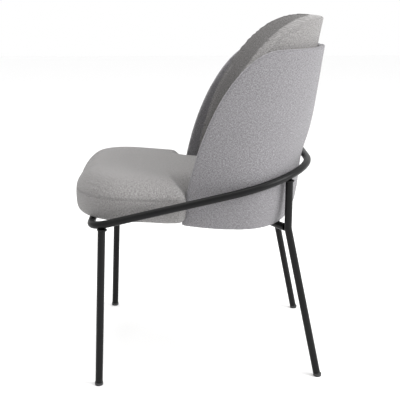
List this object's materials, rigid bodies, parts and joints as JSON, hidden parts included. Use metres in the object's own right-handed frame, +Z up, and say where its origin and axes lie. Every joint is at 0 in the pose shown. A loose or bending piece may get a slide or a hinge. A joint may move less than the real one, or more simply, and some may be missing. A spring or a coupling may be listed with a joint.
{
  "type": "dining chair",
  "caption": "Upholstered dining chair with a tall curved back inside a lower wrap-round shell, on a frame of bent black steel tube with splayed legs.",
  "frame": {"origin": "centre of the bounding box on the floor: midway between left and right and between the front of the seat and the rear of the back, at floor level", "axes": "+X across the chair, to the sitter's left; the sitter faces -Y, so +Y points to the rear; +Z up from the floor"},
  "size_m": [0.516, 0.6173, 0.865],
  "materials": {
    "frame_tube": "satin black powder coat",
    "glide": "moulded black plastic",
    "plywood": "raw bent plywood",
    "hardwood": "raw beech dowel",
    "zinc_hardware": "zinc-plated steel",
    "black_hardware": "black oxide steel",
    "dust_cover": "thin black non-woven",
    "foam": "cut polyurethane foam",
    "fabric_warm": "warm grey melange weave",
    "fabric_cool": "cool grey melange weave"
  },
  "bodies": {
    "root": {"hoop_rail": "frame_tube", "front_leg_left": "frame_tube", "front_leg_right": "frame_tube", "rear_leg_left": "frame_tube", "rear_leg_right": "frame_tube", "rear_cross_bar": "frame_tube", "seat_bar_left": "frame_tube", "seat_bar_right": "frame_tube", "front_glide_left": "glide", "front_glide_right": "glide", "rear_glide_left": "glide", "rear_glide_right": "glide", "seat_board": "plywood", "seat_tee_nuts": "zinc_hardware", "seat_bolts": "black_hardware", "seat_washers": "zinc_hardware", "seat_dust_cover": "dust_cover", "seat_foam": "foam", "seat_cover": "fabric_warm", "back_board": "plywood", "back_front_foam": "foam", "back_rear_foam": "foam", "back_cover": "fabric_warm", "wrap_board": "plywood", "wrap_inner_foam": "foam", "wrap_outer_foam": "foam", "wrap_cover": "fabric_cool", "shell_dowels": "hardwood"}
  },
  "joints": []
}
